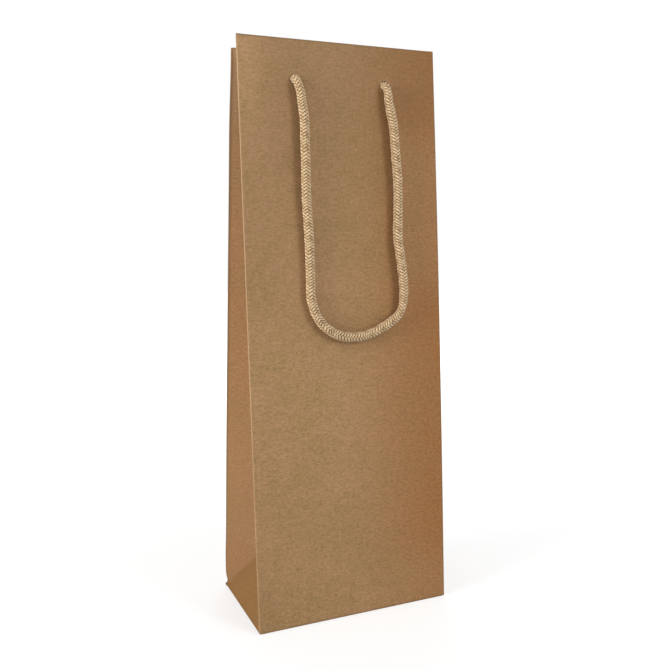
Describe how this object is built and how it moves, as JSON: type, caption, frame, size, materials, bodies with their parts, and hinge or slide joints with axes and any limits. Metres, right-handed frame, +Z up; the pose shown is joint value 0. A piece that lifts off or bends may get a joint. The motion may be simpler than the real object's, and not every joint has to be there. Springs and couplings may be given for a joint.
{
  "type": "paper bottle bag",
  "caption": "Tall, narrow kraft paper carrier bag for a bottle, with folded-in side gussets, a card base and knotted rope handles.",
  "frame": {"origin": "middle of the base's underside, on the surface that the bag stands on", "axes": "+Z up to the mouth, +X across the width to the right as seen from the front, -Y out of the front wall"},
  "size_m": [0.13, 0.0808, 0.3598],
  "materials": {
    "kraft_outside": "matt uncoated brown kraft with fine fibres and faint cross ribs",
    "kraft_side": "matt uncoated brown kraft with fine fibres and worn creases",
    "kraft_inside": "matt uncoated brown kraft, inner face",
    "greyboard": "matt recycled board",
    "rope": "matt round knitted cotton, natural beige"
  },
  "bodies": {
    "root": {"front_panel": "kraft_outside", "front_hem": "kraft_inside", "front_top_card": "greyboard", "left_gusset_front": "kraft_side", "right_gusset_front": "kraft_side", "left_gusset_foot": "kraft_side", "right_gusset_foot": "kraft_side", "left_gusset_front_hem": "kraft_inside", "right_gusset_front_hem": "kraft_inside", "front_bottom_flap": "kraft_outside", "back_bottom_flap": "kraft_outside", "left_dust_flap": "kraft_inside", "right_dust_flap": "kraft_inside", "base_card": "greyboard", "front_left_knot": "rope", "front_right_knot": "rope"},
    "back_wall": {"back_panel": "kraft_outside", "back_hem": "kraft_inside", "back_top_card": "greyboard", "side_seam_flap": "kraft_inside", "left_gusset_back": "kraft_side", "right_gusset_back": "kraft_side", "left_gusset_back_hem": "kraft_inside", "right_gusset_back_hem": "kraft_inside", "back_left_knot": "rope", "back_right_knot": "rope"},
    "front_handle": {"front_handle_cord": "rope"},
    "back_handle": {"back_handle_cord": "rope"}
  },
  "joints": [
    {"name": "mouth_open", "type": "hinge", "parent": "root", "child": "back_wall", "pos_m": [0, 0.04, 0], "axis": [-1, 0, 0], "range_deg": [0, 9], "deforming": ["left_gusset_back", "right_gusset_back", "left_gusset_back_hem", "right_gusset_back_hem"]},
    {"name": "front_handle_swing", "type": "hinge", "parent": "root", "child": "front_handle", "pos_m": [0, -0.03286, 0.33596], "axis": [-1, 0, 0], "range_deg": [0, 170]},
    {"name": "back_handle_swing", "type": "hinge", "parent": "back_wall", "child": "back_handle", "pos_m": [0, 0.00203, 0.33388], "axis": [1, 0, 0], "range_deg": [0, 170]}
  ]
}
